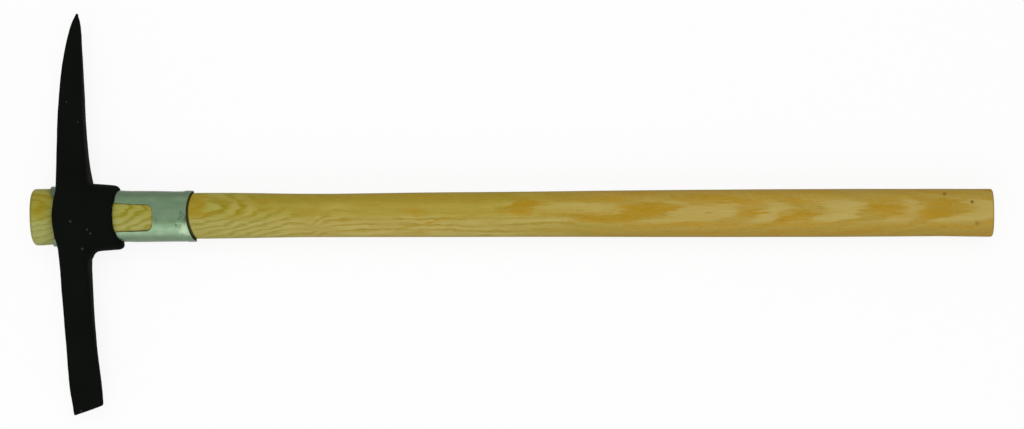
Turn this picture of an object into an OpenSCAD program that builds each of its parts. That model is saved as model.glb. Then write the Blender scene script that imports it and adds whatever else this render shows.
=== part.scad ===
// Pick axe: a forged head with a point and a cutter on a steel-shod oval ash handle.
// The tool lies on its side, with the handle along X, the arms along Y and the thickness along Z.
// Stations along the handle are measured from the head end of the wood. Lengths are in millimetres.

/* [Handle] */
// Length of the wood, end to end
handle_length = 916.7; // [800:0.1:1100]
// Height of the oval section at the head end
end_height = 53.4; // [50:0.1:58]
// Height of the section at the throat, where the flare under the head starts
throat_height = 46.3; // [44.5:0.1:48]
// Height of the section at the rim of the sleeve
rim_height = 43.8; // [41:0.1:44.4]
// Height of the section at the waist
waist_height = 40.7; // [36:0.1:44]
// Height of the section along the grip
grip_height = 44.2; // [38:0.1:46]
// Distance from the head end to the throat
throat_x = 97.7; // [88:0.1:108]
// Distance from the head end to the waist
waist_x = 291.7; // [220:0.1:380]
// Distance from the head end to the start of the straight grip
grip_x = 716.7; // [500:0.1:760]
// Length of the rounding at the head end's edge
end_round = 3.8; // [2:0.1:9]
// How far that rounding draws the head end in
end_shoulder = 4.6; // [2:0.1:10]
// Lean of the head end's face, in degrees
end_lean = 1.4; // [0:0.1:3]
// Rounding of the butt's edge
butt_round = 2.4; // [1:0.1:6]
// Depth of the oval sections, as a share of their height
oval_depth_share = 0.68; // [0.62:0.01:0.8]

/* [Sleeve] */
// Thickness of the sheet
sheet = 1.0; // [0.6:0.1:1.6]
// Length of the sleeve, from the tips of its legs to its rim
sleeve_length = 139; // [124:0.2:150]
// Gap between the wood and the sheet at the throat
sleeve_fit = 0.15; // [0.1:0.05:0.4]
// Gap between the wood and the legs at their tips
leg_gap = 1.6; // [0.4:0.1:2.4]
// Gap between the wood and the sheet at the rim
rim_gap = 0.9; // [0.3:0.1:1]
// How far the legs stand out past the head
leg_proud = 9.6; // [5:0.1:14]
// Lean of the line through the tips of the legs, in degrees
leg_lean = 2.4; // [0:0.1:4]
// Height of the windows between the legs
window_height = 25.3; // [18:0.1:30]
// How far the windows sit below the middle of the handle
window_drop = 1.4; // [0:0.1:3]
// Distance from the windows' round end to the rim
ring_length = 38; // [28:0.1:46]
// Radius of the windows' corners
window_corner = 7; // [2:0.1:9]
// How far each edge of a window swings out by the tips of the legs
leg_flare = 9.6; // [0:0.1:11]
// How much the band at the rim is swelled outwards
rim_swell = 0.3; // [0.1:0.05:0.4]
// Length of the swelled band
rim_band = 8.5; // [7.8:0.1:14]
// Length over which the sheet swells out to that band
rim_flank = 2.1; // [1:0.1:3]
// How far the rim dips in on the broad faces
rim_dip = 5.3; // [0:0.1:6]
// Lean of the rim, in degrees
rim_lean = 3.3; // [0:0.1:4]
// Width of the closing seam on the rear face
seam_width = 0.5; // [0.3:0.05:1]

/* [Nails] */
// Diameter of a nail's head
nail_head_d = 5.2; // [4:0.1:6.4]
// Thickness of a nail's head at its middle
nail_head_height = 0.5; // [0.3:0.05:0.7]
// Diameter of a nail's shank
nail_shank_d = 2.2; // [1.6:0.1:2.6]
// Length of a nail under its head
nail_length = 13; // [8:0.5:14]
// Distance from the rim on a broad face to a nail's axis
nail_inset = 3.6; // [3.4:0.1:5.2]

/* [Head] */
// How far the wood stands out past the crown of the head
handle_proud = 29.1; // [24:0.1:34]
// Length of the eye, from the crown to the mouth of the collar
eye_length = 58.6; // [52:0.1:62]
// Running clearance between the eye and the legs of the sleeve
eye_clearance = 0.3; // [0.2:0.05:0.6]
// Wall of the eye at the crown
crown_wall = 6.4; // [5:0.1:8]
// Wall of the collar at its mouth
mouth_wall = 5.5; // [4:0.1:7]
// How far the outside of the collar hangs below the eye
collar_drop = 1.1; // [0:0.1:2]
// Lean of the crown, in degrees
crown_tilt = 2; // [0:0.1:4]
// Lean of the collar's mouth, in degrees
mouth_tilt = 3.8; // [0:0.1:5]
// How far the crown bows out on the broad faces
crown_bow = 3.4; // [0:0.1:5]
// How far the mouth dips in on the broad faces
mouth_dip = 5.4; // [0:0.1:7]
// Rounding of the crown's edge
crown_round = 3.6; // [1:0.1:4.5]
// Length over which the collar's wall rounds down to the edge of its mouth
mouth_round = 6.5; // [2:0.1:8]
// Wall that is left at that edge
mouth_lip = 0.9; // [0.5:0.1:2]
// Reach of the point, from the middle of the handle
point_reach = 196.2; // [150:0.5:260]
// Reach of the cutter, from the middle of the handle
cutter_reach = 192.8; // [150:0.5:260]
// Width of the arms where they leave the eye
arm_width = 32; // [28:0.1:36]
// Distance from the crown to the middle of the arms
arm_inset = 13.1; // [11:0.1:16]
// Thickness of the arms beyond the eye
arm_thickness = 25; // [18:0.2:30]
// Thickness of the block between the arms, at the middle of the eye
block_thickness = 51; // [48:0.2:54]
// Distance along each arm over which the block thins down to the arm
block_reach = 66; // [50:0.5:80]
// Thickness of the point close to its tip
tip_thickness = 4; // [2:0.1:8]
// Thickness of the cutter behind its bevel
cutter_thickness = 8; // [5:0.1:14]
// Thickness of the cutter's edge
edge_thickness = 1.2; // [0.6:0.1:2]
// Width of the bevel along the cutter's edge
bevel_width = 4; // [2:0.1:8]
// Fillet under the collar, where it meets the cutter
cutter_fillet = 7.5; // [2:0.1:10]
// Fillet over the collar, where it meets the point
point_fillet = 2.5; // [1:0.1:6]

/* [Hidden] */

$fn = 48;
overrun = 1;
passage_overrun = 8;
sides = 48;
arm_sides = 28;
arm_steps = 14;
block_steps = 6;
round_steps = 4;
waist_steps = 8;
grip_steps = 12;
leg_steps = 8;
flare_power = 1.5;
oval_power = 2.2;
arm_power = 4.2;
nail_ease = 0.05;
nail_point_share = 0.25;
nail_rim_share = 0.4;
nail_crown_share = 0.5;
spacing_share = 0.5;

tip_x = handle_proud - leg_proud;
rim_x = tip_x + sleeve_length;
window_x = rim_x - ring_length;
mouth_x = handle_proud + eye_length;
nail_x = rim_x - rim_dip - nail_inset;
arm_x = handle_proud + arm_inset;

// The arms' edges as curves of four points each. Along X they are shares of the arms' width, measured
// from the middle of the arms, and along Y they are shares of the arm's reach.
point_crown_shares = [[-0.53, 0.16], [-0.56, 0.58], [-0.37, 0.85], [0.03, 1]];
point_inner_shares = [[0.46, 0.16], [0.19, 0.44], [0.33, 0.60], [0.08, 1]];
cutter_crown_shares = [[-0.46, 0.19], [-0.40, 0.35], [-0.27, 0.72], [-0.09, 1]];
cutter_inner_shares = [[0.40, 0.19], [0.57, 0.57], [0.52, 0.57], [0.82, 0.947]];

// Blends
function mix(a, b, t) = a + (b - a) * t;
function ease(t) = (1 - cos(180 * t)) / 2;
function signed_power(v, p) = sign(v) * pow(abs(v), p);
function bezier(p, t) =
    pow(1 - t, 3) * p[0] + 3 * pow(1 - t, 2) * t * p[1] + 3 * (1 - t) * t * t * p[2] + t * t * t * p[3];

// A full oval as [y, z] points, and the same as a ring across the handle at one station
function oval(half_height, half_depth) = [
    for (i = [0 : sides - 1])
        let (a = 360 * i / sides)
        [half_height * signed_power(cos(a), 2 / oval_power),
         half_depth * signed_power(sin(a), 2 / oval_power)]
];
function oval_ring(x, half_height, half_depth) = [for (p = oval(half_height, half_depth)) [x, p[0], p[1]]];

// A closed solid through a stack of rings, capped at both ends or joined end to end
function skin_wall(rings, count, closed) = [
    for (r = [0 : rings - (closed ? 1 : 2)])
        let (s = (r + 1) % rings)
        for (i = [0 : count - 1])
            let (j = (i + 1) % count)
            each [[r * count + i, s * count + j, r * count + j], [r * count + i, s * count + i, s * count + j]]
];
function skin_caps(rings, count) = [
    [for (i = [0 : count - 1]) i],
    [for (i = [count - 1 : -1 : 0]) (rings - 1) * count + i]
];
module skin(stack, closed = false) {
    rings = len(stack);
    count = len(stack[0]);
    polyhedron(
        points = [for (ring = stack) each ring],
        faces = concat(skin_wall(rings, count, closed), closed ? [] : skin_caps(rings, count)),
        convexity = 8
    );
}

// Height of the wood at a station
function wood_height(x) =
    x < tip_x ? end_height
    : x < throat_x ? mix(end_height, throat_height, (x - tip_x) / (throat_x - tip_x))
    : x < rim_x ? mix(throat_height, rim_height, (x - throat_x) / (rim_x - throat_x))
    : x < waist_x ? mix(rim_height, waist_height, ease((x - rim_x) / (waist_x - rim_x)))
    : x < grip_x ? mix(waist_height, grip_height, ease((x - waist_x) / (grip_x - waist_x)))
    : grip_height;

// One ring of the wood, drawn in by an inset, and leaning from the upper edge of the end's face
function wood_ring(x, inset = 0, lean = 0) =
    let (half = wood_height(x) / 2, upper = half - end_shoulder)
    [for (p = oval(half - inset, half * oval_depth_share - inset)) [x + tan(lean) * (upper - p[0]), p[0], p[1]]];

// Inside of the sleeve: half its height at a station
function sleeve_half(x) =
    x < throat_x
    ? mix(wood_height(tip_x) / 2 + leg_gap, throat_height / 2 + sleeve_fit, (x - tip_x) / (throat_x - tip_x))
    : mix(throat_height / 2 + sleeve_fit, rim_height / 2 + rim_gap, (x - throat_x) / (rim_x - throat_x));

// One ring of the sleeve, grown outwards, with its lean and with the dip of the rim on the broad faces
function sleeve_ring(x, grow, dip = 0, lean = 0) =
    let (half = sleeve_half(x), height = half + grow, depth = half * oval_depth_share + grow)
    [for (p = oval(height, depth)) [x - dip * pow(p[1] / depth, 2) - tan(lean) * p[0], p[0], p[1]]];

// The sleeve's stations from the tips to the rim, as rings grown by one thickness
function sleeve_stack(grow) = [
    sleeve_ring(tip_x, grow, lean = leg_lean),
    sleeve_ring(throat_x, grow),
    sleeve_ring(window_x + window_corner, grow),
    sleeve_ring(rim_x - rim_band, grow, rim_dip, rim_lean),
    sleeve_ring(rim_x - rim_band + rim_flank, grow + rim_swell, rim_dip, rim_lean),
    sleeve_ring(rim_x, grow + rim_swell, rim_dip, rim_lean)
];

// Outside of the sleeve at a nail, in the depth of the tool
function nail_seat() = sleeve_half(nail_x + rim_dip) * oval_depth_share + sheet + rim_swell;

// Places on the leaning crown and mouth of the head, and between them
function eye_x(t, y) = mix(handle_proud - tan(crown_tilt) * y, mouth_x - tan(mouth_tilt) * y, t);
function eye_station(t) = mix(handle_proud, mouth_x, t);

// One ring of the eye's passage, which follows the sleeve, and one of the eye's outside
function passage_ring(t) =
    let (half = sleeve_half(eye_station(t)), grow = sheet + eye_clearance)
    oval_ring(eye_station(t), half + grow, half * oval_depth_share + grow);
function eye_ring(t, wall, lower = 0, upper = 0) =
    let (half = sleeve_half(eye_station(t)), grow = sheet + eye_clearance + wall)
    let (height = half + grow, depth = half * oval_depth_share + grow)
    [for (p = oval(height, depth))
        let (y = p[0] * (height + (p[0] < 0 ? lower : upper)) / height)
        [eye_x(t, y) - mix(crown_bow, mouth_dip, t) * pow(p[1] / depth, 2), y, p[1]]];

// Outside of the eye: wall at a place between the crown and the mouth
function eye_wall(t) = mix(crown_wall, mouth_wall, t);

// A hollow fillet of one radius, at a distance from the arms' inner side
function cove(radius, distance) =
    distance >= radius ? 0
    : distance <= 0 ? radius
    : radius - sqrt(radius * radius - pow(radius - distance, 2));

module placed() {
    translate([-handle_length / 2, (cutter_reach - point_reach) / 2, eye_outside()])
        children();
}

// Half the thickness of the head, which the tool lies on
function eye_outside() =
    let (t = crown_round / eye_length)
    sleeve_half(eye_station(t)) * oval_depth_share + sheet + eye_clearance + eye_wall(t);

// One cross-section of an arm between two edge points, as a full rounded bar
function arm_ring(crown, inner, thickness) = [
    for (i = [0 : arm_sides - 1])
        let (a = 360 * i / arm_sides)
        let (across = signed_power(cos(a), 2 / arm_power), up = signed_power(sin(a), 2 / arm_power))
        let (p = (crown + inner) / 2 + (inner - crown) / 2 * across)
        [arm_x + p[0], p[1], thickness / 2 * up]
];

// An edge's points in real sizes
function arm_edge(shares, reach) = [for (s = shares) [s[0] * arm_width, s[1] * reach]];

point_crown = arm_edge(point_crown_shares, point_reach);
point_inner = arm_edge(point_inner_shares, point_reach);
cutter_crown = arm_edge(cutter_crown_shares, -cutter_reach);
cutter_inner = arm_edge(cutter_inner_shares, -cutter_reach);

// The block that joins the arms thins down to them along each arm
function block_extra(y) =
    abs(y) >= block_reach ? 0
    : (block_thickness - arm_thickness) * (1 - ease(abs(y) / block_reach));

function point_ring(t) =
    let (crown = bezier(point_crown, t), inner = bezier(point_inner, t))
    arm_ring(crown, inner, mix(arm_thickness, tip_thickness, pow(t, 2)) + block_extra(crown[1]));

function cutter_ring(t, thickness) =
    let (crown = bezier(cutter_crown, t), inner = bezier(cutter_inner, t))
    arm_ring(crown, inner, thickness + block_extra(crown[1]));

// Where the bevel starts along the cutter
bevel_t = 1 - bevel_width / (3 * norm(cutter_crown[3] - cutter_crown[2]));

// The arms in one run, from the point's tip through the block to the cutter's edge
module arms() {
    point = [for (i = [arm_steps : -1 : 0]) point_ring(mix(i / arm_steps, ease(i / arm_steps), spacing_share))];
    block = [
        for (i = [1 : block_steps - 1])
            let (t = i / block_steps)
            let (crown = mix(point_crown[0], cutter_crown[0], t), inner = mix(point_inner[0], cutter_inner[0], t))
            arm_ring(crown, inner, arm_thickness + block_extra(crown[1]))
    ];
    cutter = [
        for (i = [0 : arm_steps])
            let (t = bevel_t * i / arm_steps)
            cutter_ring(t, mix(arm_thickness, cutter_thickness, t / bevel_t))
    ];
    skin(concat(point, block, cutter, [cutter_ring(1, edge_thickness)]));
}

module eye_outer() {
    cutter_side = arm_x + cutter_inner[0][0];
    point_side = arm_x + point_inner[0][0];
    function collar_ring(t, inset) =
        eye_ring(
            t, eye_wall(t) - inset,
            lower = cove(cutter_fillet, eye_station(t) - cutter_side) + collar_drop,
            upper = cove(point_fillet, eye_station(t) - point_side) - collar_drop
        );
    crown_share = crown_round / eye_length;
    mouth_share = mouth_round / eye_length;
    cove_start_share = (cutter_side - handle_proud) / eye_length;
    cove_share = cutter_fillet / eye_length;
    crown = [
        for (i = [0 : round_steps])
            let (a = 90 * i / round_steps, t = crown_share * (1 - cos(a)))
            eye_ring(t, eye_wall(t) - crown_round * (1 - sin(a)))
    ];
    fillet = [
        for (i = [0 : round_steps])
            let (a = 90 * i / round_steps)
            collar_ring(cove_start_share + cove_share * (1 - cos(a)), 0)
    ];
    mouth = [
        for (i = [0 : round_steps])
            let (a = 90 * i / round_steps)
            collar_ring(1 - mouth_share * (1 - sin(a)), (mouth_wall - mouth_lip) * (1 - cos(a)))
    ];
    skin(concat(crown, fillet, mouth));
}

module eye_passage() {
    over = passage_overrun / eye_length;
    skin([passage_ring(-over), passage_ring(1 + over)]);
}

module pick_head() {
    color([0.05, 0.06, 0.05])
        placed()
            difference() {
                union() {
                    arms();
                    eye_outer();
                }
                eye_passage();
            }
}

module handle() {
    head_end = [
        for (i = [0 : round_steps])
            let (a = 90 * i / round_steps)
            wood_ring(end_round * (1 - cos(a)), end_shoulder * (1 - sin(a)), end_lean)
    ];
    flare = [for (x = [tip_x, throat_x]) wood_ring(x)];
    waist = [for (i = [0 : waist_steps]) wood_ring(mix(rim_x, waist_x, i / waist_steps))];
    grip = [for (i = [1 : grip_steps]) wood_ring(mix(waist_x, grip_x, i / grip_steps))];
    butt = [
        for (i = [round_steps : -1 : 0])
            let (a = 90 * i / round_steps)
            wood_ring(handle_length - butt_round * (1 - cos(a)), butt_round * (1 - sin(a)))
    ];
    color([0.68, 0.58, 0.28])
        placed()
            difference() {
                skin(concat(head_end, flare, waist, grip, butt));
                for (turn = [0, 180])
                    rotate([turn, 0, 0])
                        nail_hole(nail_length + nail_ease);
            }
}

// A nail's hole from the sleeve's outside inwards
module nail_hole(depth) {
    translate([nail_x, 0, nail_seat() - depth])
        cylinder(r = nail_shank_d / 2 + nail_ease, h = depth + overrun);
}

// Window between the legs: its edges swing out towards the tips, and its other end has round corners
module window() {
    low = -window_drop - window_height / 2;
    start = tip_x - passage_overrun;
    round_x = window_x - window_corner;
    function leg_x(i) = mix(round_x, start, i / leg_steps);
    function leg_half(i) = window_height / 2 + leg_flare * pow(i / leg_steps, flare_power);
    upper_edge = [for (i = [0 : leg_steps]) [leg_x(i), -window_drop + leg_half(i)]];
    lower_edge = [for (i = [leg_steps : -1 : 0]) [leg_x(i), -window_drop - leg_half(i)]];
    linear_extrude(height = end_height, center = true) {
        polygon(concat(upper_edge, lower_edge));
        translate([start, low + window_corner])
            square([window_x - start, window_height - 2 * window_corner]);
        for (y = [low + window_corner, low + window_height - window_corner])
            translate([round_x, y])
                circle(r = window_corner);
    }
}

module sleeve() {
    outer = sleeve_stack(sheet);
    inner = sleeve_stack(0);
    back = [for (i = [len(inner) - 1 : -1 : 0]) inner[i]];
    color([0.52, 0.6, 0.5])
        placed()
            difference() {
                skin(concat(outer, back), closed = true);
                window();
                translate([window_x - overrun, -seam_width / 2, -end_height])
                    cube([ring_length + 2 * overrun, seam_width, end_height]);
                for (turn = [0, 180])
                    rotate([turn, 0, 0])
                        nail_hole(2 * sheet + rim_swell + rim_gap);
            }
}

module nail() {
    point = nail_length * nail_point_share;
    rim = nail_head_height * nail_rim_share;
    translate([nail_x, 0, nail_seat() + nail_ease])
        rotate_extrude()
            polygon([
                [0, -nail_length],
                [nail_shank_d / 2, point - nail_length],
                [nail_shank_d / 2, 0],
                [nail_head_d / 2, 0],
                [nail_head_d / 2, rim],
                [nail_head_d / 2 * nail_crown_share, nail_head_height],
                [0, nail_head_height]
            ]);
}

module nail_front() {
    color([0.6, 0.62, 0.6])
        placed()
            nail();
}

module nail_rear() {
    color([0.6, 0.62, 0.6])
        placed()
            rotate([180, 0, 0])
                nail();
}

pick_head();
handle();
sleeve();
nail_front();
nail_rear();
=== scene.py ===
"""Looks of the pick axe: a forged black head, an ash handle and a galvanised sleeve on a pale floor."""

import math

import bmesh
import bpy
from mathutils import Matrix, Vector, noise


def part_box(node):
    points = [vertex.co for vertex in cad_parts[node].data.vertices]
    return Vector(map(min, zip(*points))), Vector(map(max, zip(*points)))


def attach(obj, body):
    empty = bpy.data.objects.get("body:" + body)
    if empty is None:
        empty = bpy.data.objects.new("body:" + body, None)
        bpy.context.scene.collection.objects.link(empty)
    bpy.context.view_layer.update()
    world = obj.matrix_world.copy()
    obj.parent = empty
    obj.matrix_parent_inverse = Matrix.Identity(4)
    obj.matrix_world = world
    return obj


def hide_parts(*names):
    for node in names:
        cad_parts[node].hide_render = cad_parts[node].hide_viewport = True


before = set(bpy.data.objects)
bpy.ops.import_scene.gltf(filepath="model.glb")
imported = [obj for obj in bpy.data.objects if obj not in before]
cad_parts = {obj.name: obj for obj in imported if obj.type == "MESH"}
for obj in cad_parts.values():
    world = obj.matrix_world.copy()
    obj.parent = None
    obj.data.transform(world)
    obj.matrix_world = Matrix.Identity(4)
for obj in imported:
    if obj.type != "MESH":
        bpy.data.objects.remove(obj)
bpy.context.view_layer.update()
MM = 0.001

# Places that come from the frame. Stations are measured along X from the head end of the wood.
WOOD_LOW, WOOD_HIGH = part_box("handle")
HEAD_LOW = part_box("pick_head")[0]
AXIS_Y = (WOOD_LOW.y + WOOD_HIGH.y) / 2
AXIS_Z = (WOOD_LOW.z + WOOD_HIGH.z) / 2
HANDLE_LENGTH = WOOD_HIGH.x - WOOD_LOW.x

# Handle: heights of the oval section, the stations where they hold, and its ends
END_HEIGHT = 53.4 * MM
THROAT_HEIGHT = 46.3 * MM
RIM_HEIGHT = 43.8 * MM
WAIST_HEIGHT = 40.7 * MM
GRIP_HEIGHT = 44.2 * MM
THROAT = 97.7 * MM
WAIST = 291.7 * MM
GRIP = 716.7 * MM
END_ROUND = 3.8 * MM
END_SHOULDER = 4.6 * MM
END_LEAN = math.tan(math.radians(1.4))
BUTT_ROUND = 2.4 * MM
DEPTH_SHARE = 0.68
OVAL_POWER = 2.2
# How far the wood stands out past its solid, in millimetres: station, upper edge, lower edge
WOOD_SPREAD = [
    (0, 0.0, 1.2), (9, 0.0, 1.1), (14, 0.1, 0.7), (24, 0.2, 0.2), (50, 0.0, 0.0), (130, 0.0, 0.0),
    (158, 0.3, 0.0), (182, 0.4, 0.0), (220, 0.5, 0.2), (258, 0.35, 0.35), (296, 0.4, 0.65),
    (334, 0.7, 0.75), (373, 1.0, 0.65), (411, 0.95, 0.6), (449, 0.8, 0.5), (487, 0.75, 0.4),
    (563, 0.75, 0.15), (601, 0.7, 0.2), (678, 0.7, 0.35), (792, 0.65, 0.4), (830, 0.35, 0.35),
    (868, 0.2, 0.15), (895, 0.0, 0.7), (917, 0.0, 1.0),
]
# Handle's mesh, and the unevenness of its skin
WOOD_SIDES = 112
WOOD_STEP = 5 * MM
END_STEPS = 8
CAP_SHARES = [0.25, 0.5, 0.75, 0.92]
WOOD_WAVER = 0.12 * MM
WOOD_WAVER_LENGTH = 70 * MM
WOOD_WAVER_TURN = 1.3

# Sleeve: the sheet, its legs, its windows and its rim
SHEET = 1.0 * MM
TIP = 19.5 * MM
TIP_CUT = 0.9 * MM
TIP_ROUND = 2.6 * MM
TIP_POWER = 3
RIM = 158.5 * MM
LEG_LEAN = math.tan(math.radians(2.4))
LEG_FLARE = 9.6 * MM
FLARE_LEAD = 8 * MM
FLARE_START = TIP - FLARE_LEAD
FLARE_POWER = 1.5
LEG_GAP = 1.6 * MM
SLEEVE_FIT = 0.15 * MM
RIM_GAP = 0.9 * MM
RIM_SWELL = 0.3 * MM
RIM_BAND = 8.5 * MM
RIM_FLANK = 2.1 * MM
RIM_DIP = 5.3 * MM
RIM_LEAN = math.tan(math.radians(3.3))
RIM_DEPTH = 16.8 * MM
WINDOW_END = 120.5 * MM
WINDOW_HALF = 12.65 * MM
WINDOW_DROP = 1.4 * MM
WINDOW_CORNER = 7 * MM
CORNER_START = WINDOW_END - WINDOW_CORNER
SEAM_HALF = 0.25 * MM
# How far the sheet stands out past its solid, in millimetres: station, upper edge, lower edge
SHEET_SPREAD = [
    (92, 0.0, 0.0), (100, 0.2, 0.7), (120, 0.2, 0.7), (140, -0.1, 0.75), (148, 0.0, 0.8),
    (151, 0.4, 0.85), (158.5, 0.35, 0.8),
]
# Dents in the sleeve's front face, in millimetres: station, height over the middle, radius, depth
DENTS = [
    (150.0, -9.0, 2.2, 0.55), (156.5, -13.5, 3.4, 0.60), (154.3, -15.6, 1.6, -0.35),
    (143.5, 6.0, 9.0, 0.35), (129.7, -8.0, 8.0, -0.25), (154.9, 0.0, 4.2, 0.25),
]
# Sleeve's mesh: its unevenness, the share of its depth over which that fades at the sides, its broken edges
SHEET_WAVER = 0.1 * MM
SHEET_WAVER_LENGTH = 14 * MM
SHEET_WAVER_HEIGHT = 11 * MM
SIDE_FADE = 0.6
EDGE_BREAK = 0.18 * MM
EDGE_STEPS = 2
EDGE_ANGLE = math.radians(50)
LEG_COLUMNS, CORNER_COLUMNS, RING_COLUMNS = 30, 8, 44
LEG_ROWS, FACE_ROWS = 28, 14

# Head: its joins melt near the eye, less along the collar, and in the inner corner of the cutter
HEAD_VOXEL = 0.75 * MM
EYE_REACH = 30 * MM
EYE_FADE = 45 * MM
COLLAR_START = 42 * MM
COLLAR_FADE = 12 * MM
COLLAR_KEPT = 0.95
CUTTER_CORNER = (68.4 * MM, -182.6 * MM)
CORNER_REACH = 13 * MM
SMOOTHING = 0.5
MELT_STEPS = 24
SOFTEN_STEPS = 4
# Unevenness of the forged skin: long swells, and pits that add a share to them
FORGE_WAVER = 0.22 * MM
SWELL_LENGTH = 26 * MM
PIT_LENGTH = 7 * MM
PIT_SHARE = 0.3
# Room that the bore gets round the sleeve, and how far from the sheet a point counts as the bore's
BORE_ROOM = 0.35 * MM
BORE_REACH = 1.2 * MM
BORE_EDGE = 0.06
# How far the forging stands out past its solid, in millimetres: height over the middle, right edge, left edge
HEAD_SPREAD = [
    (-193, 0.5, 0.0), (-184, 0.6, 0.0), (-177, 0.2, 0.4), (-169, 0.5, 1.1), (-160, 0.65, 1.3),
    (-146, 0.45, 1.2), (-125, 0.0, 0.8), (-70, 0.0, 0.95), (-52, 0.0, 0.5), (-42, 0.6, 0.35),
    (-35, 1.2, 0.35), (-32, 0.9, 0.4), (-27, -0.5, 1.2), (-24, -1.0, 1.6), (-21, -1.1, 1.75),
    (-18, -0.6, 1.5), (-14, -0.5, 1.3), (-10, -0.5, 1.4), (-4, 0.0, 1.5), (1, 0.2, 1.5), (6, 0.3, 1.15),
    (10, 0.4, 0.8), (14, 0.9, 0.55), (17, 0.6, 0.55), (21, -0.2, 0.35), (25, -0.8, 0.35), (28, -0.4, 0.4),
    (31, 0.2, 0.35), (42, 0.2, 0.5), (60, 0.1, 0.6), (100, 0.0, 0.5), (130, 0.2, 0.5), (150, 0.4, 0.7),
    (165, 0.75, 0.7), (176, 1.35, 0.75), (184, 1.45, 0.85), (189, 1.15, 0.75), (193, 0.3, 0.2),
]
SPREAD_STEP = 1 * MM


def mix(a, b, t):
    return a + (b - a) * t


def ease(t):
    return (1 - math.cos(math.pi * t)) / 2


def clamp(t):
    return max(0.0, min(1.0, t))


def signed_power(v, p):
    return math.copysign(abs(v) ** p, v)


def srgb(r, g, b):
    """A colour as seen on a screen, from 0 to 255, as linear light with alpha."""
    def linear(c):
        c /= 255
        return c / 12.92 if c <= 0.04045 else ((c + 0.055) / 1.055) ** 2.4
    return (linear(r), linear(g), linear(b), 1.0)


def palette(**screen):
    """Colours by name, given as seen on a screen."""
    return {name: srgb(*color) for name, color in screen.items()}


def new_piece(name, bm):
    mesh = bpy.data.meshes.new(name)
    bmesh.ops.recalc_face_normals(bm, faces=bm.faces)
    bm.to_mesh(mesh)
    bm.free()
    mesh.polygons.foreach_set("use_smooth", [True] * len(mesh.polygons))
    piece = bpy.data.objects.new(name, mesh)
    bpy.context.scene.collection.objects.link(piece)
    return piece


def apply_modifiers(piece):
    """Puts the result of the piece's modifiers into its mesh."""
    graph = bpy.context.evaluated_depsgraph_get()
    result = bpy.data.meshes.new_from_object(piece.evaluated_get(graph))
    piece.modifiers.clear()
    old = piece.data
    piece.data = result
    result.name = piece.name
    bpy.data.meshes.remove(old)


def oval_point(angle, half_height, half_depth):
    return (half_height * signed_power(math.cos(angle), 2 / OVAL_POWER),
            half_depth * signed_power(math.sin(angle), 2 / OVAL_POWER))


def in_frame(station, y, z):
    """A point given from the head end and the middle of the handle, in the frame."""
    return Vector((WOOD_LOW.x + station, AXIS_Y + y, AXIS_Z + z))


def spread_at(table, place):
    """The two spreads that a table gives at a place, straight between its rows."""
    for one, two in zip(table, table[1:]):
        if place <= two[0] * MM:
            t = clamp((place - one[0] * MM) / ((two[0] - one[0]) * MM))
            return mix(one[1], two[1], t) * MM, mix(one[2], two[2], t) * MM
    return table[-1][1] * MM, table[-1][2] * MM


def spread_height(table, station, y, half):
    """A height over the middle, moved along with the upper and lower edges."""
    upper, lower = spread_at(table, station)
    return y + mix(-lower, upper, (y / half + 1) / 2)


def wood_height(x):
    if x < TIP:
        return END_HEIGHT
    if x < THROAT:
        return mix(END_HEIGHT, THROAT_HEIGHT, (x - TIP) / (THROAT - TIP))
    if x < RIM:
        return mix(THROAT_HEIGHT, RIM_HEIGHT, (x - THROAT) / (RIM - THROAT))
    if x < WAIST:
        return mix(RIM_HEIGHT, WAIST_HEIGHT, ease((x - RIM) / (WAIST - RIM)))
    if x < GRIP:
        return mix(WAIST_HEIGHT, GRIP_HEIGHT, ease((x - WAIST) / (GRIP - WAIST)))
    return GRIP_HEIGHT


def leaned(x, y):
    """A station moved by the lean of the head end."""
    lean = END_LEAN * (1 - clamp((x - END_ROUND) / (TIP - END_ROUND)))
    return x + lean * (END_HEIGHT / 2 - END_SHOULDER + WOOD_WAVER - y)


def wood_stations():
    """Stations of the wood's rings, each with how far the rounding of the ends draws the ring in."""
    turn = [math.pi / 2 * i / END_STEPS for i in range(END_STEPS + 1)]
    head = [(END_ROUND * (1 - math.cos(a)), END_SHOULDER * (1 - math.sin(a))) for a in turn]
    straight = HANDLE_LENGTH - END_ROUND - BUTT_ROUND
    count = round(straight / WOOD_STEP)
    between = [(END_ROUND + straight * i / count, 0.0) for i in range(1, count)]
    butt = [(HANDLE_LENGTH - BUTT_ROUND * (1 - math.cos(a)), BUTT_ROUND * (1 - math.sin(a)))
            for a in reversed(turn)]
    return head + between + butt


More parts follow.
